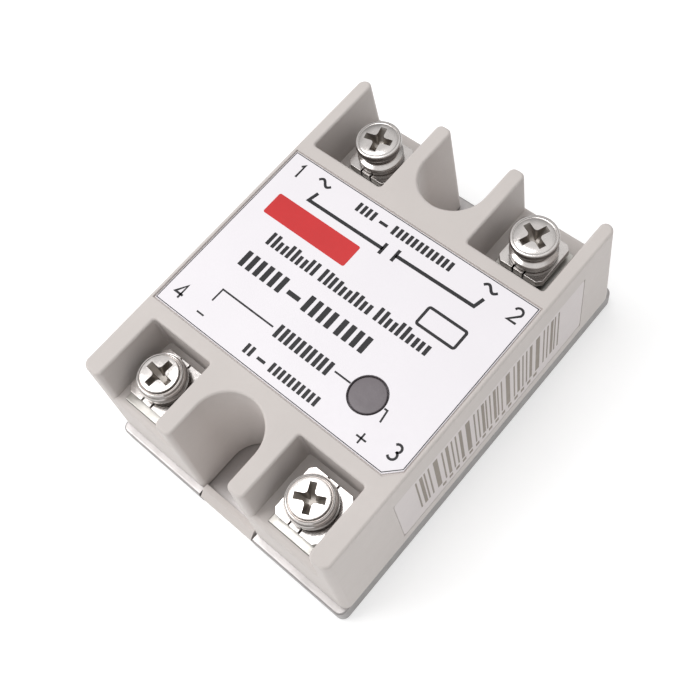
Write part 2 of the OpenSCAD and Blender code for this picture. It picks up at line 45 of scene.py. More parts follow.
# ---------- sizes, in millimetres, as in the CAD ----------
BASE_W, BASE_L, BASE_T = 44.8, 62.5, 3.0
HOUSE_Z, TOP_Z = 3.2, 23.0
HALF_W, HALF_L = 22.5, 30.1
SIDE_DRAFT, END_DRAFT = 0.35, 0.95
CORNER_R, TIP_R = 1.2, 0.9
EDGE_R, FOOT_R = 0.42, 0.38
TIP_STOP, TIP_RUN = 85, 0.3  # degrees of a wall tip's arc, and the straight run beyond it
POCKET_FILLET = 0.45
LIP_R = 0.75
WALL, FLOOR_T, PARTITION = 2.1, 2.0, 1.5
FIT = 0.03  # room round an inlaid piece
THREAD_CLEAR = 0.05
COLLAR, COLLAR_ROOM = 1.2, 1.5  # beyond the shank's radius
MOUNT_Y = 23.75
MOUNT_R = 2.25
NOTCH_R = 5.2
NOTCH_WALL = 1.9
NOTCH_Y = {1: 23.1, -1: -23.75}
ROOF_Z = 21.2
POSTS_X, POSTS_Y = (-18.3, 18.3), (12.6, -14.9)
POST_R, POST_Z = 1.6, 11.8  # the posts hang from the roof, with pegs through the board
PEG_R, PEG_Z = 0.9, (9.9, 12.2)
LABEL_Z, LABEL_TOP = 22.65, 22.90
LABEL_Y = -1.07
LABEL_SIZE = (42.7, 29.4)
LABEL_CUT = 1.9
LABEL_GAP = 0.2
WINDOW = (11.4, -8.95)
WINDOW_R = 2.75
TERM_X = 13.8
LEG_W, LEG_T, LEG_Z = 4.0, 0.8, 8.9
HEAD_FLAT_R = 2.78
RECESS_TURN = {1: 15, 2: 67, 3: 27, 4: 85}
SIDE_LABEL = {"y": 2.5, "z": 12.2, "length": 39.8, "height": 13.2, "t": 0.1, "recess": 0.12}
INK_T, INK_SUNK = 0.012, 0.005  # print stands proud of a label, and reaches into it
THIN, THICK = 0.26, 0.52
RECESS_R, RECESS_DEEP = 2.2, 2.0

# The two terminal kits. "pocket" and "plate_y" are from and to; "clamp" is width, length and
# thickness; "gap" is under the clamp at rest; "spring" is outer and inner radius and height;
# "head" is radius and height.
LOAD = {
    "pocket": (7.6, 20.1), "pocket_y": 15.9, "floor": 14.4,
    "plate_y": (17.6, 26.5), "plate_w": 8.4, "plate_t": 1.2, "plate_top": 15.3,
    "screw_y": 22.6, "shank_r": 1.95, "shank_l": 8.0, "pitch": 0.7,
    "clamp": (7.4, 7.4, 1.2), "slit": 1.0, "gap": 0.9,
    "spring": (3.35, 2.15, 1.0), "head": (3.4, 3.3),
}
INPUT = {
    "pocket": (8.0, 18.95), "pocket_y": 18.2, "floor": 15.6,
    "plate_y": (19.4, 28.4), "plate_w": 7.8, "plate_t": 1.0, "plate_top": 16.0,
    "screw_y": 23.3, "shank_r": 1.7, "shank_l": 6.0, "pitch": 0.6,
    "clamp": (7.7, 8.0, 0.8), "slit": 1.7, "gap": 0.8,
    "spring": (3.1, 1.9, 0.7), "head": (3.55, 2.4),
}
STACK_CLEAR = 0.02
TERMINALS = (1, 2, 3, 4)


def side(i):
    """(kit, x sign, y sign) of terminal i."""
    return (LOAD if i <= 2 else INPUT, -1 if i in (1, 4) else 1, 1 if i <= 2 else -1)


# ---------- mesh helpers ----------
def piece(name, verts, faces):
    """A new object in the scene, still in millimetres."""
    me = bpy.data.meshes.new(name)
    me.from_pydata([tuple(v) for v in verts], [], faces)
    bm = bmesh.new()
    bm.from_mesh(me)
    bmesh.ops.recalc_face_normals(bm, faces=bm.faces)
    bm.to_mesh(me)
    bm.free()
    ob = bpy.data.objects.new(name, me)
    bpy.context.scene.collection.objects.link(ob)
    return ob


def apply_modifiers(ob):
    """Puts the object's evaluated mesh in the place of its own."""
    graph = bpy.context.evaluated_depsgraph_get()
    me = bpy.data.meshes.new_from_object(ob.evaluated_get(graph))
    ob.modifiers.clear()
    old, ob.data = ob.data, me
    bpy.data.meshes.remove(old)
    return ob


def drop(ob):
    """Removes an object and its mesh."""
    me = ob.data
    bpy.data.objects.remove(ob)
    bpy.data.meshes.remove(me)


def combine(a, b, how="DIFFERENCE"):
    """a cut by, joined with or kept inside b, which is then removed."""
    mod = a.modifiers.new("combine", "BOOLEAN")
    mod.operation = how
    mod.solver = "EXACT"
    mod.object = b
    apply_modifiers(a)
    drop(b)
    return a


def loft(name, rings):
    """Closed solid through rings of equal point counts, lowest first, with flat ends."""
    n = len(rings[0])
    verts = [p for ring in rings for p in ring]
    faces = [tuple(range(n)), tuple(range((len(rings) - 1) * n, len(rings) * n))]
    for k in range(len(rings) - 1):
        for j in range(n):
            a, b = k * n + j, k * n + (j + 1) % n
            faces.append((a, b, b + n, a + n))
    return piece(name, verts, faces)


def prism(name, outline, z0, z1):
    """Upright solid on a plan outline."""
    return loft(name, [[(x, y, z) for x, y in outline] for z in (z0, z1)])


def block(name, lo, hi):
    """Box between two opposite corners."""
    outline = [(lo[0], lo[1]), (hi[0], lo[1]), (hi[0], hi[1]), (lo[0], hi[1])]
    return prism(name, outline, lo[2], hi[2])


def circle(x, y, r, n=64):
    return [(x + r * math.cos(TAU * k / n), y + r * math.sin(TAU * k / n)) for k in range(n)]


def column(name, x, y, r, z0, z1, n=64):
    return prism(name, circle(x, y, r, n), z0, z1)


def arc(cx, cy, r, a0, a1, n):
    """Points on an arc, angles in degrees, both ends included."""
    out = []
    for k in range(n + 1):
        a = math.radians(a0 + (a1 - a0) * k / n)
        out.append((cx + r * math.cos(a), cy + r * math.sin(a)))
    return out


def round_box(w, l, r, n=6):
    """Rounded rectangle outline centred on the origin, anticlockwise."""
    return (arc(w - r, l - r, r, 0, 90, n) + arc(r - w, l - r, r, 90, 180, n)
            + arc(r - w, r - l, r, 180, 270, n) + arc(w - r, r - l, r, 270, 360, n))


def rim(r, steps):
    """(height below the edge, inset) pairs of a rounded edge, from its start up to the top."""
    out = []
    for k in range(steps + 1):
        a = math.pi / 2 * k / steps
        out.append((r * (1 - math.sin(a)), r * (1 - math.cos(a))))
    return out


def scale_in(ob):
    """Millimetres to metres."""
    ob.data.transform(Matrix.Scale(MM, 4))
    return ob


def shade(ob, angle, weighted):
    """Smooth shading, sharp past an angle in degrees, with broad faces kept flat if weighted."""
    me = ob.data
    me.polygons.foreach_set("use_smooth", [True] * len(me.polygons))
    me.set_sharp_from_angle(angle=math.radians(angle))
    if weighted:
        mod = ob.modifiers.new("normals", "WEIGHTED_NORMAL")
        mod.mode = "FACE_AREA"
        mod.weight = 60
        mod.keep_sharp = True
    me.update()
    return ob


def bevel(ob, width):
    """Rounds every edge sharper than 35 degrees."""
    mod = ob.modifiers.new("edges", "BEVEL")
    mod.width = width
    mod.segments = 3
    mod.limit_method = "ANGLE"
    mod.angle_limit = math.radians(35)
    mod.miter_outer = "MITER_ARC"
    mod.use_clamp_overlap = True
    return apply_modifiers(ob)


def merge_flat(ob):
    """Merges coplanar faces that a cut has left split."""
    bm = bmesh.new()
    bm.from_mesh(ob.data)
    bmesh.ops.remove_doubles(bm, verts=bm.verts, dist=1e-4)
    bmesh.ops.dissolve_limit(bm, angle_limit=math.radians(0.4), verts=bm.verts, edges=bm.edges)
    bm.to_mesh(ob.data)
    bm.free()
    return ob


def finish_piece(ob, body, nodes, material, smooth=32.0, weighted=True):
    """Scales and shades a piece, gives it its look, and ties it to the frame."""
    scale_in(ob)
    shade(ob, smooth, weighted)
    ob.data.materials.clear()
    ob.data.materials.append(material)
    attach(ob, body)
    if nodes:
        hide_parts(*nodes)
    return ob


# ---------- materials ----------
def srgb(r, g, b):
    """Linear colour from 0-255 display values."""
    out = []
    for c in (r, g, b):
        c /= 255
        out.append(c / 12.92 if c <= 0.04045 else ((c + 0.055) / 1.055) ** 2.4)
    return (*out, 1.0)


class Nodes:
    """A material's node tree, with short ways to add what every material here uses."""

    def __init__(self, name):
        self.mat = bpy.data.materials.new(name)
        self.mat.use_nodes = True
        self.tree = self.mat.node_tree
        self.tree.nodes.clear()
        self.shader = self.add("ShaderNodeBsdfPrincipled")
        out = self.add("ShaderNodeOutputMaterial")
        self.link(self.shader.outputs["BSDF"], out.inputs["Surface"])
        place = self.add("ShaderNodeTexCoord")
        self.coord, self.normal = place.outputs["Object"], place.outputs["Normal"]

    def add(self, kind, **settings):
        node = self.tree.nodes.new(kind)
        for key, value in settings.items():
            setattr(node, key, value)
        return node

    def link(self, a, b):
        self.tree.links.new(a, b)

    def stretch(self, scale, turn=(0, 0, 0)):
        """Object coordinates in millimetres times scale."""
        node = self.add("ShaderNodeMapping")
        node.inputs["Scale"].default_value = [s / MM for s in scale]
        node.inputs["Rotation"].default_value = [math.radians(a) for a in turn]
        self.link(self.coord, node.inputs["Vector"])
        return node.outputs["Vector"]

    def noise(self, scale, detail=3.0, rough=0.55, stretch=(1, 1, 1), turn=(0, 0, 0), warp=0.0):
        """Noise value, with scale in cycles per millimetre."""
        node = self.add("ShaderNodeTexNoise")
        node.inputs["Scale"].default_value = scale
        node.inputs["Detail"].default_value = detail
        node.inputs["Roughness"].default_value = rough
        node.inputs["Distortion"].default_value = warp
        self.link(self.stretch(stretch, turn), node.inputs["Vector"])
        return node.outputs["Fac"]

    def spread(self, value, lo, hi, to_lo, to_hi):
        """A value's lo to hi mapped to to_lo to to_hi, and clamped."""
        node = self.add("ShaderNodeMapRange")
        for key, v in zip(("From Min", "From Max", "To Min", "To Max"), (lo, hi, to_lo, to_hi)):
            node.inputs[key].default_value = v
        self.link(value, node.inputs["Value"])
        return node.outputs["Result"]

    def blend(self, fac, a, b, mode="MIX"):
        """Colour b over colour a by fac; each is a fixed colour or a socket."""
        node = self.add("ShaderNodeMix", data_type="RGBA", blend_type=mode)
        self.link(fac, node.inputs["Factor"])
        for value, key in ((a, 6), (b, 7)):  # the node's colour inputs, A and B
            if isinstance(value, tuple):
                node.inputs[key].default_value = value
            else:
                self.link(value, node.inputs[key])
        return node.outputs[2]

    def sum(self, a, b, scale):
        """a + b * scale"""
        node = self.add("ShaderNodeMath", operation="MULTIPLY_ADD")
        self.link(b, node.inputs[0])
        node.inputs[1].default_value = scale
        self.link(a, node.inputs[2])
        return node.outputs[0]

    def bump(self, height, depth):
        """Bumps the surface by a 0 to 1 height, depth millimetres high."""
        node = self.add("ShaderNodeBump")
        node.inputs["Strength"].default_value = 1.0
        node.inputs["Distance"].default_value = depth * MM
        self.link(height, node.inputs["Height"])
        self.link(node.outputs["Normal"], self.shader.inputs["Normal"])

    def set(self, **values):
        """Fixed values on the shader's own sockets."""
        for key, value in values.items():
            self.shader.inputs[key.replace("_", " ")].default_value = value


def shift(colour, k):
    """The colour made k times as bright."""
    return (*[min(c * k, 1.0) for c in colour[:3]], 1.0)


def plastic(name, colour, rough, grain, mottle=0.05, fine=5.0, dirt=0.12):
    """Moulded plastic: soft mottling, fine grain (depth in millimetres), faint rubbed marks."""
    n = Nodes(name)
    broad = n.noise(0.09, 3, 0.6)
    small = n.noise(1.3, 4, 0.6)
    marks = n.noise(0.35, 5, 0.7, stretch=(1, 0.35, 1), turn=(0, 0, 24), warp=0.6)
    base = n.blend(n.spread(broad, 0.35, 0.65, 0, 1), shift(colour, 1 - mottle),
                   shift(colour, 1 + mottle))
    base = n.blend(n.spread(small, 0.3, 0.7, 0, 0.5), base, shift(colour, 1 - mottle * 0.8))
    base = n.blend(n.spread(marks, 0.62, 0.78, 0, dirt), base, shift(colour, 0.55))
    n.link(base, n.shader.inputs["Base Color"])
    n.link(n.spread(n.sum(small, marks, 0.6), 0.4, 1.2, rough - 0.07, rough + 0.1),
           n.shader.inputs["Roughness"])
    n.set(Specular_IOR_Level=0.4)
    n.bump(n.sum(n.noise(fine, 3, 0.6), small, 0.7), grain)
    return n.mat


def metal(name, colour, rough, stain, brush=(1, 1, 1), upright_shade=1.0):
    """Plated or brushed metal: directional scratches, cloudy stains, painted shade on upright
    faces.
    """
    n = Nodes(name)
    lines = n.noise(3.0, 5, 0.7, stretch=brush)
    cloud = n.noise(0.45, 4, 0.65, warp=0.8)
    spots = n.noise(1.9, 3, 0.6)
    base = n.blend(n.spread(cloud, 0.4, 0.75, 0, stain), colour, shift(colour, 0.62))
    base = n.blend(n.spread(spots, 0.6, 0.8, 0, stain), base, shift(colour, 0.45))
    # painted shade: upright faces are darkened by the last factor, as though in shadow
    shade_normal = n.add("ShaderNodeSeparateXYZ")
    n.link(n.normal, shade_normal.inputs[0])
    base = n.blend(n.spread(shade_normal.outputs["Z"], 0.1, 0.75, 1, 0), base, (upright_shade, upright_shade, upright_shade, 1),
                   "MULTIPLY")
    n.link(base, n.shader.inputs["Base Color"])
    n.link(n.spread(n.sum(lines, cloud, 0.8), 0.5, 1.3, rough - 0.08, rough + 0.14),
           n.shader.inputs["Roughness"])
    n.set(Metallic=1.0)
    n.bump(n.sum(lines, spots, 0.5), 0.006)
    return n.mat


# After the colour, plastic takes its roughness and grain, and metal its roughness and stain. The
# factor given to a metal last darkens its upright faces: painted shade.
MATS = {
    "housing": plastic("housing_plastic", srgb(206, 199, 195), 0.55, 0.012, mottle=0.025, dirt=0.1),
    "base": metal("base_metal", srgb(184, 180, 179), 0.36, 0.2, brush=(0.08, 3, 3), upright_shade=0.6),
    "sealant": plastic("sealant", srgb(38, 37, 36), 0.7, 0.05, mottle=0.2),
    "label": plastic("label_film", srgb(240, 236, 240), 0.36, 0.004, mottle=0.012, dirt=0.03),
    "print": plastic("print_black", srgb(34, 33, 36), 0.45, 0.004, mottle=0.1, dirt=0.05),
    "accent": plastic("print_red", srgb(206, 44, 46), 0.42, 0.004, mottle=0.06, dirt=0.05),
    "paper": plastic("sticker_paper", srgb(218, 211, 210), 0.6, 0.01, mottle=0.03, fine=8.0),
    "paper_print": plastic("sticker_print", srgb(150, 141, 131), 0.6, 0.006, mottle=0.1),
    "window": plastic("window_plastic", srgb(118, 111, 115), 0.36, 0.012, mottle=0.1, dirt=0.15),
    "pad": plastic("thermal_layer", srgb(225, 226, 229), 0.75, 0.02),
    "package": plastic("package_plastic", srgb(38, 38, 40), 0.6, 0.03, mottle=0.12),
    "tin": metal("tinned_metal", srgb(196, 193, 188), 0.34, 0.3, brush=(3, 0.15, 3), upright_shade=0.5),
    "board": plastic("board_laminate", srgb(32, 92, 56), 0.4, 0.015, mottle=0.14),
    "copper": metal("copper", srgb(201, 126, 84), 0.32, 0.35, brush=(0.2, 3, 3)),
    "cap": plastic("capacitor_plastic", srgb(196, 154, 52), 0.4, 0.01, mottle=0.08),
    "coat": plastic("resistor_coat", srgb(190, 168, 132), 0.45, 0.02, mottle=0.1),
    "epoxy": plastic("led_epoxy", srgb(188, 42, 36), 0.18, 0.004, mottle=0.05),
    "steel": metal("plated_steel", srgb(222, 217, 214), 0.17, 0.3, upright_shade=0.42),
    # the cross recess's darker colour is painted shade in the hollow; its rougher finish is real
    "recess": metal("recess_steel_painted_shade", srgb(178, 172, 166), 0.4, 0.3),
    "spring": metal("spring_steel", srgb(187, 182, 178), 0.26, 0.35, brush=(1, 1, 6), upright_shade=0.5),
}


# ---------- housing ----------
def half_at(z):
    """Half width and half length of the drafted body at height z."""
    t = (z - HOUSE_Z) / (TOP_Z - HOUSE_Z)
    return HALF_W - SIDE_DRAFT * t, HALF_L - END_DRAFT * t


def top_levels(r, steps=5):
    """(z, inset) up a body's rounded top edge."""
    return [(TOP_Z - h, o) for h, o in rim(r, steps)]


def outer_body():
    """The housing's outside, drafted, with a rounded top edge and a chamfered foot."""
    levels = [(HOUSE_Z, FOOT_R), (HOUSE_Z + FOOT_R, 0.0)] + top_levels(EDGE_R)
    rings = []
    for z, o in levels:
        w, l = half_at(z)
        rings.append([(x, y, z) for x, y in round_box(w - o, l - o, CORNER_R - o, 8)])
    return loft("housing_shell", rings)


def open_end(x, l, o, s):
    """Boundary of a cut along one wall's rounded tip; s is +1 for the wall on its +X side."""
    cx, cy, r = x + s * TIP_R, l - TIP_R, TIP_R - o
    pts = []
    for px, py in arc(0, cy, r, 0, TIP_STOP, 7):
        pts.append((cx - s * px, py))
    a = math.radians(TIP_STOP)
    last = pts[-1]
    beyond = (last[0] + s * TIP_RUN * math.sin(a), last[1] + TIP_RUN * math.cos(a))
    pts += [beyond, (beyond[0], l + 3)]
    return pts


def cutter(name, outline, low, flip):
    """Open-ended cut with a flared, rounded rim; outline(o, l) gives its plan at an outset o."""
    rings = []
    for z, o in [(low, 0.0)] + top_levels(EDGE_R) + [(TOP_Z + 1.5, EDGE_R)]:
        pts = outline(o, half_at(z)[1])
        rings.append([(x, -y if flip else y, z) for x, y in pts])
    return loft(name, rings)


def pocket_outline(x0, x1, y0, inset=0.0):
    """Plan of a terminal pocket, open at the housing's end."""
    def outline(o, l):
        o -= inset
        inner = (arc(x0 + POCKET_FILLET, y0 + POCKET_FILLET, POCKET_FILLET + o, 180, 270, 4)
                 + arc(x1 - POCKET_FILLET, y0 + POCKET_FILLET, POCKET_FILLET + o, 270, 360, 4))
        return inner + open_end(x1, l, o, 1) + open_end(x0, l, o, -1)[::-1]
    return outline


def notch_outline(yc):
    """Plan of a mounting notch, open at the housing's end."""
    def outline(o, l):
        return (arc(0, yc, NOTCH_R + o, 180, 360, 32)
                + open_end(NOTCH_R, l, o, 1) + open_end(-NOTCH_R, l, o, -1)[::-1])
    return outline


def pocket_range(i):
    """The pocket's two x limits, lower first."""
    kit, s, _ = side(i)
    a, b = kit["pocket"]
    return (a, b) if s > 0 else (-b, -a)


def lip_cut(i):
    """What is taken off the open edge of a pocket's floor to round it."""
    kit, _, t = side(i)
    x0, x1 = pocket_range(i)
    z = kit["floor"]
    l = half_at(z)[1]
    skew = 4  # degrees: the angle at which the cut meets the floor and the end face
    start, run = math.radians(skew), 0.4
    pts = arc(l - LIP_R, z - LIP_R, LIP_R, 90 - skew, skew, 8)
    first = (pts[0][0] - run * math.cos(start), pts[0][1] + run * math.sin(start))
    last = (pts[-1][0] + run * math.sin(start), pts[-1][1] - run * math.cos(start))
    profile = [first] + pts + [last, (l + 2, last[1]), (l + 2, z + 1.5), (first[0], z + 1.5)]
    rings = [[(x, t * y, zz) for y, zz in profile] for x in (x0 - 0.8, x1 + 0.8)]
    strip = loft("lip", rings)
    # a hair inside the pocket's own walls: a second cut on the same walls leaves a dark wedge
    plan = cutter("plan", pocket_outline(x0, x1, kit["pocket_y"], 0.02), z - 2, t < 0)
    return combine(strip, plan, "INTERSECT")


def label_outline(grow):
    """The label's outline with its cut corner, made bigger all round by grow."""
    w, l, c, y = LABEL_SIZE[0] / 2 + grow, LABEL_SIZE[1] / 2 + grow, LABEL_CUT, LABEL_Y
    return [(-w, y - l), (w - c, y - l), (w, y - l + c), (w, y + l), (-w, y + l)]


def on_side(ob):
    """Moves a piece built round the origin, its outer face on x = 0, onto the drafted +X side."""
    lean = math.atan(SIDE_DRAFT / (TOP_Z - HOUSE_Z))
    x = half_at(SIDE_LABEL["z"])[0]
    ob.data.transform(Matrix.Translation((x, SIDE_LABEL["y"], SIDE_LABEL["z"]))
                      @ Matrix.Rotation(-lean, 4, "Y"))
    return ob


def hollow():
    """The room inside the housing, up to the pocket floors and, between them, the roof."""
    in_w, in_l = HALF_W - WALL, HALF_L - WALL
    space = block("hollow", (-in_w, -in_l, 0), (in_w, in_l, LOAD["floor"] - FLOOR_T))
    combine(space, block("b", (-in_w, -in_l, 1), (in_w, 0, INPUT["floor"] - FLOOR_T)), "UNION")
    combine(space, block("c", (0.2 - in_w, PARTITION - INPUT["pocket_y"], 1),
                         (in_w - 0.2, LOAD["pocket_y"] - PARTITION, ROOF_Z)), "UNION")
    for s, y in NOTCH_Y.items():
        r = NOTCH_R + NOTCH_WALL
        combine(space, column("n", 0, y, r, -1, TOP_Z))
        lo, hi = sorted((y, s * HALF_L))
        combine(space, block("n", (-r, lo, -1), (r, hi, TOP_Z)))
    return space


def hook():
    """The tongue that reaches down over the base plate's edge at the input end."""
    z, top, face, low = HOUSE_Z, 3.9, 2.6, 0.3
    out, inner, back = 31.2, 29.95, 29.3
    profile = [(-back, z), (-back, top), (-inner + 0.1, top), (-30.15, top - 0.08)]
    profile += [(-31.1, face + 0.1), (-out, face - 0.15), (-out, low + 0.2), (-out + 0.2, low),
                (-inner - 0.1, low), (-inner, low + 0.1), (-inner, z)]
    rings = [[(x, y, zz) for y, zz in profile] for x in (-5.1, 5.1)]
    return loft("hook", rings)


def housing():
    """The moulded shell: pockets, notches, plate beds, label recesses, posts and hook."""
    body = outer_body()
    combine(body, hollow())
    for s, y in NOTCH_Y.items():
        combine(body, cutter("notch", notch_outline(abs(y)), 2, s < 0))
    for i in TERMINALS:
        kit, s, t = side(i)
        x0, x1 = pocket_range(i)
        plan = pocket_outline(x0, x1, kit["pocket_y"])
        combine(body, cutter("pocket", plan, kit["floor"], t < 0))
        combine(body, lip_cut(i))
        cx, w = s * TERM_X, kit["plate_w"] / 2 + FIT
        ys = sorted((t * (kit["plate_y"][0] - FIT), t * (kit["plate_y"][1] + FIT)))
        combine(body, block("p", (cx - w, ys[0], kit["plate_top"] - kit["plate_t"]),
                            (cx + w, ys[1], kit["floor"] + 2)))
        combine(body, column("c", cx, t * kit["screw_y"], kit["shank_r"] + COLLAR_ROOM, 1,
                             kit["floor"]))
        ys = sorted((t * (kit["plate_y"][0] - FIT), t * (kit["plate_y"][0] + LEG_T + FIT)))
        combine(body, block("l", (cx - LEG_W / 2 - FIT, ys[0], LEG_Z),
                            (cx + LEG_W / 2 + FIT, ys[1], kit["floor"] + 1)))
    rings = [[(x, y, z) for x, y in label_outline(LABEL_GAP + o)]
             for z, o in [(LABEL_Z, 0.0)] + top_levels(0.12, 3) + [(TOP_Z + 1, 0.12)]]
    combine(body, loft("recess", rings))
    combine(body, column("w", *WINDOW, WINDOW_R + FIT, 15, TOP_Z + 1))
    s, gap = SIDE_LABEL, 0.1
    y, z = s["length"] / 2 + gap, s["height"] / 2 + gap
    combine(body, on_side(block("s", (-s["recess"], -y, -z), (1, y, z))))
    for x in POSTS_X:
        for y in POSTS_Y:
            combine(body, column("p", x, y, POST_R, POST_Z, ROOF_Z + 0.3, 32), "UNION")
            combine(body, column("q", x, y, PEG_R, *PEG_Z, 32), "UNION")
    combine(body, hook(), "UNION")
    merge_flat(body)
    return finish_piece(body, "relay_body", ["housing"], MATS["housing"])


# ---------- base plate ----------
def base_plate():
    """The metal plate, with two chamfered mounting holes and a relief for the hook."""
    levels = [(0.0, 0.2), (0.2, 0.0)] + [(BASE_T - h, o) for h, o in rim(0.4, 5)]
    rings = [[(x, y, z) for x, y in round_box(BASE_W / 2 - o, BASE_L / 2 - o, CORNER_R - o, 8)]
             for z, o in levels]
    plate = loft("base_plate_metal", rings)
    bore = ((-1, 3.5), (0.25, MOUNT_R), (BASE_T - 0.2, MOUNT_R), (4, 3.45))  # height, radius
    for y in (-MOUNT_Y, MOUNT_Y):
        hole = loft("h", [[(x, yy, z) for x, yy in circle(0, y, r)] for z, r in bore])
        combine(plate, hole)
    relief = [(x, y) for x, y in ((-5.4, -40), (5.4, -40), (5.4, -30.1), (5.1, -29.8),
                                  (-5.1, -29.8), (-5.4, -30.1))]
    combine(plate, prism("r", relief, -1, 4))
    merge_flat(plate)
    return finish_piece(plate, "relay_body", ["base_plate"], MATS["base"])


# ---------- terminals ----------
def terminal_plate(i):
    """The plated strip under a clamp, with its collar and its leg down to the board."""
    kit, s, t = side(i)
    cx, cy = s * TERM_X, t * kit["screw_y"]
    top, th, w = kit["plate_top"], kit["plate_t"], kit["plate_w"] / 2
    ys = sorted(t * y for y in kit["plate_y"])
    plate = block("terminal_strip_%d" % i, (cx - w, ys[0], top - th), (cx + w, ys[1], top))
    combine(plate, column("c", cx, cy, kit["shank_r"] + COLLAR, top - th - 2, top - th / 2),
            "UNION")
    ys = sorted((t * kit["plate_y"][0], t * (kit["plate_y"][0] + LEG_T)))
    combine(plate, block("l", (cx - LEG_W / 2, ys[0], LEG_Z),
                         (cx + LEG_W / 2, ys[1], top - th / 2)), "UNION")
    r = kit["shank_r"] + THREAD_CLEAR
    hole = loft("h", [[(x, y, z) for x, y in circle(cx, cy, rr, 48)]
                      for z, rr in ((LEG_Z, r), (top - 0.25, r), (top + 0.3, r + 0.55))])
    combine(plate, hole)
    merge_flat(plate)
    bevel(plate, 0.14)
    return finish_piece(plate, "relay_body", ["terminal_plate_%d" % i],
                        MATS["tin"])


def clamp_z(kit):
    """Height of a clamp's underside at rest."""
    return kit["plate_top"] + kit["gap"]


def spring_z(kit):
    """Height of a spring washer's underside at rest."""
    return clamp_z(kit) + kit["clamp"][2] + STACK_CLEAR


def head_z(kit):
    """Height of a screw head's underside at rest."""
    return spring_z(kit) + kit["spring"][2] + STACK_CLEAR


def clamp_washer(i):
    """The square clamp, its four corners cut off, with two slits in each end."""
    kit, s, t = side(i)
    cx, cy = s * TERM_X, t * kit["screw_y"]
    w, l, h = kit["clamp"][0] / 2, kit["clamp"][1] / 2, kit["clamp"][2]
    corner, slit_w, slit_x, deep = 0.7, 0.25, 0.87, kit["slit"]
    near = [(-w, -l + corner), (-w + corner, -l)]
    for x in (-slit_x, slit_x):
        a, b = x - slit_w / 2, x + slit_w / 2
        near += [(a, -l), (a, -l + deep), (b, -l + deep), (b, -l)]
    near += [(w - corner, -l), (w, -l + corner)]
    outline = near + [(-x, -y) for x, y in near]
    z = clamp_z(kit)
    plate = prism("wire_clamp_%d" % i, [(cx + x, cy + y) for x, y in outline], z, z + h)
    combine(plate, column("h", cx, cy, kit["shank_r"] + 0.2, z - 1, z + h + 1, 48))
    merge_flat(plate)
    bevel(plate, 0.09)
    return finish_piece(plate, "clamp_%d" % i, ["clamp_washer_%d" % i],
                        MATS["steel"])


def spring_washer(i):
    """The split lock washer, its gap cut on a slant."""
    kit, s, t = side(i)
    outer, inner, h = kit["spring"]
    z0 = spring_z(kit)
    cx, cy = s * TERM_X, t * kit["screw_y"]
    b = 0.16  # edge chamfer
    mid = (outer + inner) / 2
    section = [(inner, b), (inner + b, 0), (outer - b, 0), (outer, b),
               (outer, h - b), (outer - b, h), (inner + b, h), (inner, h - b)]
    steps, gap_w, lean = 72, 0.5, 25
    gap = gap_w / mid
    turn = math.radians(RECESS_TURN[i] + 40)  # the gap's direction, as in the CAD
    rings = []
    for k in range(steps + 1):
        ring = []
        for r, z in section:
            slant = (z - h / 2) * math.tan(math.radians(lean)) / r
            a = turn + gap / 2 + (TAU - gap) * k / steps - slant
            ring.append((cx + r * math.cos(a), cy + r * math.sin(a), z0 + z))
        rings.append(ring)
    ob = loft("split_washer_%d" % i, rings)
    return finish_piece(ob, "clamp_%d" % i, ["spring_washer_%d" % i],
                        MATS["spring"])


def recess_plan(reach, arm, fillet):
    """Outline of a cross recess at one depth: each arm's reach and half width, and the fillets."""
    pts = []
    inner = arc(arm + fillet, arm + fillet, fillet, 270, 180, 5)
    for q in range(4):
        a = q * TAU / 4
        corner = [(reach, -arm), (reach, arm)] + inner
        pts += [(x * math.cos(a) - y * math.sin(a), x * math.sin(a) + y * math.cos(a))
                for x, y in corner]
    return pts


def thread_depth(phase):
    """0 on the crest to 1 in the root of a 60 degree thread."""
    phase %= 1.0
    v = abs(phase - 0.5) * 2
    return min(max((v - 0.12) / 0.66, 0.0), 1.0)


def load_head(r, h):
    """(height, radius, 0) rows of a collared head: thin flange, waist, cap with a sunk disc."""
    rows = [(0.0, r - 0.1), (0.08, r), (0.22, r), (0.34, r - 0.12), (0.46, r - 0.62),
            (0.62, r - 0.75), (1.55, r - 0.75), (1.8, r - 0.6), (2.05, r - 0.14), (2.18, r - 0.02),
            (2.35, r)]
    rows += [(h - 0.02 - d, r - o) for d, o in rim(0.3, 4)]
    rows += [(h - 0.02, r - 0.42), (h - 0.1, r - 0.48), (h - 0.12, r - 0.56), (h - 0.05, r - 0.68),
             (h - 0.03, r * 0.5)]
    return [(z, rr, 0.0) for z, rr in rows]


def input_head(r, h):
    """(height, radius, 0) rows of a low head: flange, step, ring, groove, raised flat disc."""
    flat = HEAD_FLAT_R - 0.06
    rows = [(0.0, r - 0.3), (0.06, r - 0.12), (0.2, r - 0.03), (0.4, r), (1.0, r - 0.01),
            (h - 1.0, r - 0.03), (h - 0.9, r - 0.1), (h - 0.93, r - 0.19), (h - 0.84, r - 0.3),
            (h - 0.46, r - 0.34), (h - 0.36, r - 0.4), (h - 0.33, r - 0.48), (h - 0.37, r - 0.56),
            (h - 0.62, r - 0.6), (h - 0.7, r - 0.68), (h - 0.6, flat + 0.05),
            (h - 0.1, flat + 0.01), (h - 0.02, flat - 0.04), (h, flat - 0.14), (h, flat * 0.5)]
    return [(z, rr, 0.0) for z, rr in rows]


def thread_rows(kit):
    """(height, radius, thread depth) rows of the shank, pointed at its end, plain at its top."""
    r, length, pitch = kit["shank_r"], kit["shank_l"], kit["pitch"]
    point, runout, plain = 0.55, 0.4, 0.3
    rows = [(-length, r - point, 0.0)]
    z = -length + 0.08
    while z < -plain - 0.05:
        end = min(1.0, (z + length) / point)
        fade = min(1.0, (-plain - z) / runout)
        rows.append((z, r - 0.5 * (1 - end), min(end, fade) * pitch * 0.5))
        z += pitch / 8
    return rows + [(-plain, r, 0.0), (0.0, r + 0.02, 0.0)]


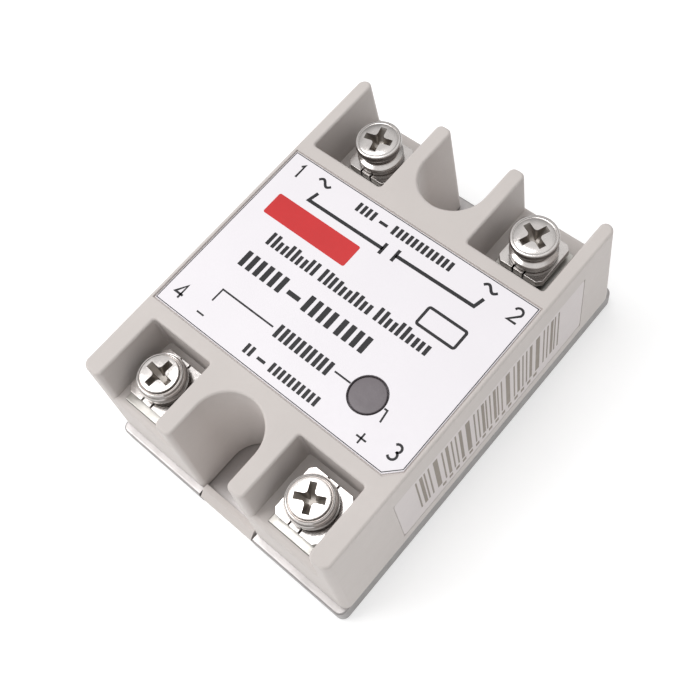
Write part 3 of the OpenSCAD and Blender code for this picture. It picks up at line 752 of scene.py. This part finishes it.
def screw(i):
    """The threaded screw, its head shaped as its side's, with a turned cross recess."""
    kit, s, t = side(i)
    cx, cy, z0 = s * TERM_X, t * kit["screw_y"], head_z(kit)
    pitch = kit["pitch"]
    hr, hh = kit["head"]
    n = 48
    rows = thread_rows(kit) + (load_head(hr, hh) if kit is LOAD else input_head(hr, hh))
    rings = []
    for z, rr, d in rows:
        ring = []
        for k in range(n):
            a = TAU * k / n
            cut = d * thread_depth(z / pitch - k / n) if d else 0.0
            ring.append(((rr - cut) * math.cos(a), (rr - cut) * math.sin(a), z))
        rings.append(ring)
    ob = loft("pan_screw_%d" % i, rings)
    plans = [(0.3, 2.25, 0.52, 0.5), (-0.05, 2.12, 0.5, 0.48), (-0.12, 2.04, 0.48, 0.46),
             (-0.4, 1.86, 0.46, 0.42), (-RECESS_DEEP + 0.35, 1.0, 0.4, 0.2),
             (-RECESS_DEEP, 0.45, 0.3, 0.1)]  # below the head's top: depth, reach, arm, fillet
    cross = loft("x", [[(x, y, hh + z) for x, y in recess_plan(*plan)] for z, *plan in plans])
    combine(ob, cross)
    turn = Matrix.Rotation(math.radians(RECESS_TURN[i]), 4, "Z")
    # faces inside the cross recess take the darker steel: painted shade, with a rougher finish
    inside = [p.center.z > hh - RECESS_DEEP - 0.1 and p.center.z < hh - 0.08
              and math.hypot(p.center.x, p.center.y) < RECESS_R for p in ob.data.polygons]
    ob.data.transform(Matrix.Translation((cx, cy, z0)) @ turn)
    finish_piece(ob, "screw_%d" % i, ["terminal_screw_%d" % i], MATS["steel"],
                 smooth=38)
    ob.data.materials.append(MATS["recess"])
    for face, dark in zip(ob.data.polygons, inside):
        face.material_index = int(dark)
    return ob


# ---------- labels, print and window ----------
def front_label():
    """The film on top, with a hole for the window."""
    rings = [[(x, y, z) for x, y in label_outline(-o)]
             for z, o in ((LABEL_Z, 0.0), (LABEL_TOP - 0.05, 0.0), (LABEL_TOP, 0.05))]
    ob = loft("front_label_film", rings)
    combine(ob, column("w", *WINDOW, WINDOW_R + FIT, LABEL_Z - 1, LABEL_TOP + 1))
    merge_flat(ob)
    return finish_piece(ob, "relay_body", ["front_label"], MATS["label"])


def join(name, parts):
    """One mesh from several closed ones."""
    verts, faces = [], []
    for ob in parts:
        base = len(verts)
        verts += [v.co.copy() for v in ob.data.vertices]
        faces += [tuple(base + k for k in p.vertices) for p in ob.data.polygons]
        drop(ob)
    return piece(name, verts, faces)


def stroke(points, width, closed=False):
    """A printed line of even width along points, with mitred corners."""
    n = len(points)
    left, right = [], []
    for k in range(n):
        p = Vector(points[k])
        before = Vector(points[k - 1]) if k or closed else None
        after = Vector(points[(k + 1) % n]) if k < n - 1 or closed else None
        dirs = [d.normalized() for d in ((p - before) if before else None,
                                         (after - p) if after else None) if d]
        tangent = sum(dirs, Vector((0, 0))).normalized()
        normal = Vector((-tangent.y, tangent.x))
        reach = width / 2 / max(normal.dot(Vector((-dirs[0].y, dirs[0].x))), 0.5)
        left.append(p + normal * reach)
        right.append(p - normal * reach)
    z0, z1 = LABEL_TOP - INK_SUNK, LABEL_TOP + INK_T
    verts, faces = [], []
    for k in range(n):
        for q in (left[k], right[k]):
            verts += [(q.x, q.y, z0), (q.x, q.y, z1)]
    last = n if closed else n - 1
    for k in range(last):
        a, b = 4 * k, 4 * ((k + 1) % n)
        faces += [(a + 1, a + 3, b + 3, b + 1), (a, b, b + 2, a + 2),
                  (a, a + 1, b + 1, b), (a + 2, b + 2, b + 3, a + 3)]
    if not closed:
        e = 4 * (n - 1)
        faces += [(0, 2, 3, 1), (e, e + 1, e + 3, e + 2)]
    return piece("stroke", verts, faces)


def bar(x0, x1, y0, y1, r):
    """A printed rectangle with corners of radius r."""
    w, l = (x1 - x0) / 2, (y1 - y0) / 2
    cx, cy = (x0 + x1) / 2, (y0 + y1) / 2
    r = min(r, w * 0.9, l * 0.9)
    return prism("bar", [(cx + x, cy + y) for x, y in round_box(w, l, r, 3)],
                 LABEL_TOP - INK_SUNK, LABEL_TOP + INK_T)


# Terminal numbers as strokes, in a box 2 high centred on the origin.
DIGITS = {
    1: [[(-0.28, 0.62), (0.08, 1.0), (0.08, -1.0)]],
    2: [arc(0, 0.42, 0.56, 165, -25, 9) + [(-0.6, -0.95), (0.62, -0.95)]],
    3: [arc(-0.04, 0.47, 0.5, 150, -75, 9), arc(-0.06, -0.44, 0.55, 80, -145, 9)],
    4: [[(0.3, -1.0), (0.3, 1.0), (-0.62, -0.42), (0.68, -0.42)]],
}


def digit(value, x, y):
    size, width = 1.12, 0.34
    return [stroke([(x + size * a, y + size * b) for a, b in line], width)
            for line in DIGITS[value]]


def wave(x, y):
    """The sign for alternating current."""
    w, h = 1.15, 0.42
    pts = [(x - w + 2 * w * k / 12, y + h * math.sin(TAU * k / 12)) for k in range(13)]
    return stroke(pts, 0.4)


def tallies(x0, x1, y0, y1, words, gap=0.3, space=0.9):
    """Plain upright strokes in the place of a printed line; words gives each pair's height."""
    count = sum(len(w) for w in words)
    room = (x1 - x0) - space * (len(words) - 1) - gap * (count - len(words))
    w = room / count
    out, x = [], x0
    for word in words:
        for tall in word:
            top = y0 + (y1 - y0) * tall
            if tall < 0.6:
                middle = (y0 + top) / 2
                out.append(bar(x, x + w, middle, middle + w * 0.32, 0.05))
            else:
                out += [bar(a, a + w * 0.38, y0, top, 0.08) for a in (x, x + w * 0.62)]
            x += w + gap
        x += space - gap
    return out


def label_print():
    """Numbers, signs and connection lines; plain marks stand where the words would be."""
    ink = []
    for value, x, y in ((1, -18.7, 11.3), (2, 19.4, 11.1), (3, 19.0, -12.6), (4, -19.0, -12.9)):
        ink += digit(value, x, y)
    ink += [wave(-14.35, 11.85), wave(14.5, 12.2)]
    ink += [stroke([(-14.0, 10.0), (-14.4, 8.4), (-0.85, 8.5)], THICK),
            stroke([(-0.85, 7.6), (-0.85, 9.5)], THICK),
            stroke([(1.25, 7.7), (1.25, 9.7)], THICK),
            stroke([(1.25, 8.7), (14.3, 8.9), (14.7, 10.5)], THICK)]
    ink += tallies(-8.1, 8.5, 10.95, 12.45, [(1, 1), (0.5,), (1, 1, 1, 1, 1, 1)])
    ink += tallies(-14.7, 13.7, -0.45, 1.7,
                   [(1, 0.72, 1, 0.72, 1), (1, 0.9, 0.72, 0.9, 0.72), (1, 0.72, 1, 0.72, 0.72)])
    ink += tallies(-15.6, 7.0, -5.15, -2.55, [(1, 1, 1), (0.5,), (1, 1), (1, 1)], 0.55, 0.9)
    box = [(12.9 + px, 4.0 + py) for px, py in round_box(3.1, 1.45, 0.3, 3)]
    ink.append(stroke(box, 0.42, closed=True))
    ink += [stroke([(-14.4, -11.4), (-14.35, -9.25), (-4.9, -9.25)], THIN),
            stroke([(5.9, -9.05), (8.6, -9.05)], THIN),
            stroke([(14.25, -9.05), (14.75, -9.05), (15.0, -10.8)], THIN)]
    ink += tallies(-4.2, 5.3, -10.3, -8.2, [(1, 1, 1, 1, 1)])
    ink += tallies(-5.9, 7.0, -14.4, -12.9, [(1,), (0.5,), (1, 1, 1, 1, 1)])
    ink += [bar(-15.0, -13.7, -13.92, -13.66, 0.05),
            bar(13.7, 15.3, -13.97, -13.71, 0.05), bar(14.37, 14.63, -14.64, -13.04, 0.05)]
    ink.append(stroke(label_outline(-0.16), 0.12, closed=True))
    ob = join("label_print", ink)
    finish_piece(ob, "relay_body", [], MATS["print"], weighted=False)
    red = join("label_accent", [bar(-18.5, -3.4, 3.2, 6.9, 0.3)])
    finish_piece(red, "relay_body", [], MATS["accent"], weighted=False)


def side_label():
    """The paper sticker on the side, with an invented bar code and a row of dashes."""
    s = SIDE_LABEL
    l, h = s["length"] / 2, s["height"] / 2
    rings = [[(x, y, z) for y, z in round_box(l - o, h - o, 0.6, 5)]
             for x, o in ((-s["recess"], 0.0), (-s["recess"] + s["t"] - 0.02, 0.0),
                          (-s["recess"] + s["t"], 0.02))]
    ob = on_side(loft("side_sticker", rings))
    finish_piece(ob, "relay_body", ["side_label"], MATS["paper"])
    face = -s["recess"] + s["t"]
    widths = (1, 2, 1, 1, 3, 1, 2, 1, 1, 2, 3, 1, 1, 2, 1)
    unit, raised = 0.29, 0.01
    y, k, bars = -15.9, 0, []
    while y < 14.5:
        w = unit * widths[k % len(widths)]
        bars.append(block("bar", (face - INK_SUNK, y, -4.0), (face + raised, y + w, 5.9)))
        y += w + unit * (1 + widths[(k * 7 + 3) % len(widths)] % 3) * 0.9
        k += 1
    y = -11.5
    while y < 9.5:
        bars.append(block("dash", (face - INK_SUNK, y, -5.5), (face + raised, y + 0.75, -4.6)))
        y += 1.45
    ob = on_side(join("side_sticker_bars", bars))
    finish_piece(ob, "relay_body", [], MATS["paper_print"], weighted=False)


def led_window():
    """The smoked lens over the indicator, flanged inside the housing and grooved on top."""
    x, y = WINDOW
    flange, edge = WINDOW_R + 0.7, WINDOW_R + 0.62
    rows = [(ROOF_Z - 0.6, edge), (ROOF_Z - 0.52, flange), (ROOF_Z - 0.1, flange),
            (ROOF_Z - 0.02, edge), (ROOF_Z - 0.02, WINDOW_R)]
    rows += [(LABEL_TOP - drop_z, WINDOW_R - inset) for drop_z, inset in (
        (0.1, 0.0), (0.06, 0.03), (0.1, 0.06), (0.6, 0.08), (0.6, 0.24), (0.12, 0.26),
        (0.04, 0.34), (0.01, 0.6))]
    rows.append((LABEL_TOP, WINDOW_R * 0.5))
    ob = loft("indicator_lens", [[(px, py, z) for px, py in circle(x, y, r)] for z, r in rows])
    finish_piece(ob, "relay_body", ["led_window"], MATS["window"])


# ---------- parts inside, kept as the CAD made them ----------
INSIDE = {
    "sealing_bead": "sealant", "thermal_pad": "pad", "triac": "package", "triac_leads": "tin",
    "circuit_board": "board", "load_bus_1": "copper", "load_bus_2": "copper",
    "optocoupler": "package", "snubber_capacitor": "cap", "snubber_resistor": "coat",
    "gate_resistor": "coat", "input_resistor": "coat", "input_diode": "package",
    "input_transistor": "package", "indicator_led": "epoxy",
}


def dress_inside():
    """Gives the CAD nodes that stay their materials."""
    for node, key in INSIDE.items():
        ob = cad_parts[node]
        if not ob.material_slots:
            ob.data.materials.append(MATS[key])
        for place in ob.material_slots:
            place.material = MATS[key]


# ---------- studio ----------
CAMERA = {"spot": (53.14, -35.73, 136.30), "aim": (0.70, -2.55, 11.5), "roll": -18.50,
          "lens": 50.51, "sensor": 36}


def floor():
    half, corner = 3000, 600
    ob = loft("floor", [[(x, y, z) for x, y in round_box(half, half, corner, 12)]
                        for z in (-4.0, -0.02)])
    scale_in(ob)
    n = Nodes("floor")
    cloud = n.spread(n.noise(0.02, 2), 0.3, 0.7, 0, 1)
    n.link(n.blend(cloud, (0.64, 0.64, 0.64, 1), (0.7, 0.7, 0.7, 1)), n.shader.inputs["Base Color"])
    n.set(Roughness=0.9, Specular_IOR_Level=0.1, Emission_Color=(1, 1, 1, 1),
          Emission_Strength=0.5)
    ob.data.materials.append(n.mat)


def lamp(name, spot, aim, size, power):
    """A square area light, placed, aimed and sized in millimetres."""
    light = bpy.data.lights.new(name, "AREA")
    light.shape = "SQUARE"
    light.size = size * MM
    light.energy = power
    ob = bpy.data.objects.new(name, light)
    bpy.context.scene.collection.objects.link(ob)
    ob.location = Vector(spot) * MM
    ob.rotation_euler = (Vector(aim) - Vector(spot)).to_track_quat("-Z", "Y").to_euler()


def sky():
    """Soft dome: a pale horizon, a dim band above it, bright overhead."""
    world = bpy.data.worlds.new("studio")
    world.use_nodes = True
    tree = world.node_tree
    coord = tree.nodes.new("ShaderNodeTexCoord")
    split = tree.nodes.new("ShaderNodeSeparateXYZ")
    ramp = tree.nodes.new("ShaderNodeValToRGB")
    stops = ramp.color_ramp.elements
    levels = ((0.0, 0.95), (0.05, 0.95), (0.12, 0.2), (0.32, 0.22), (0.95, 0.95))
    for k, (place, bright) in enumerate(levels):  # a new ramp already has two stops
        stop = stops[k] if k < 2 else stops.new(place)
        stop.position = place
        stop.color = (bright, bright, bright, 1)
    tree.links.new(coord.outputs["Generated"], split.inputs[0])
    tree.links.new(split.outputs["Z"], ramp.inputs[0])
    tree.links.new(ramp.outputs["Color"], tree.nodes["Background"].inputs["Color"])
    return world


def studio():
    """World, floor, lamps, and the camera at the photograph's angle."""
    scene = bpy.context.scene
    scene.view_settings.view_transform = "Standard"
    scene.world = sky()
    floor()
    lamp("key", (-223, -172, 311), (0, 0, 10), 260, 0.66)
    lamp("overhead", (-115, 5, 470), (14, -23, 20), 190, 0.36)

    camera = bpy.data.cameras.new("camera")
    camera.lens, camera.sensor_width = CAMERA["lens"], CAMERA["sensor"]
    camera.clip_start, camera.clip_end = 0.001, 10
    ob = bpy.data.objects.new("camera", camera)
    scene.collection.objects.link(ob)
    spot, aim = Vector(CAMERA["spot"]) * MM, Vector(CAMERA["aim"]) * MM
    roll = math.radians(CAMERA["roll"])
    turn = (aim - spot).to_track_quat("-Z", "Y").to_matrix() @ Matrix.Rotation(roll, 3, "Z")
    ob.matrix_world = Matrix.Translation(spot) @ turn.to_4x4()
    scene.camera = ob


housing()
base_plate()
for i in TERMINALS:
    terminal_plate(i)
    clamp_washer(i)
    spring_washer(i)
    screw(i)
front_label()
label_print()
side_label()
led_window()
dress_inside()
studio()
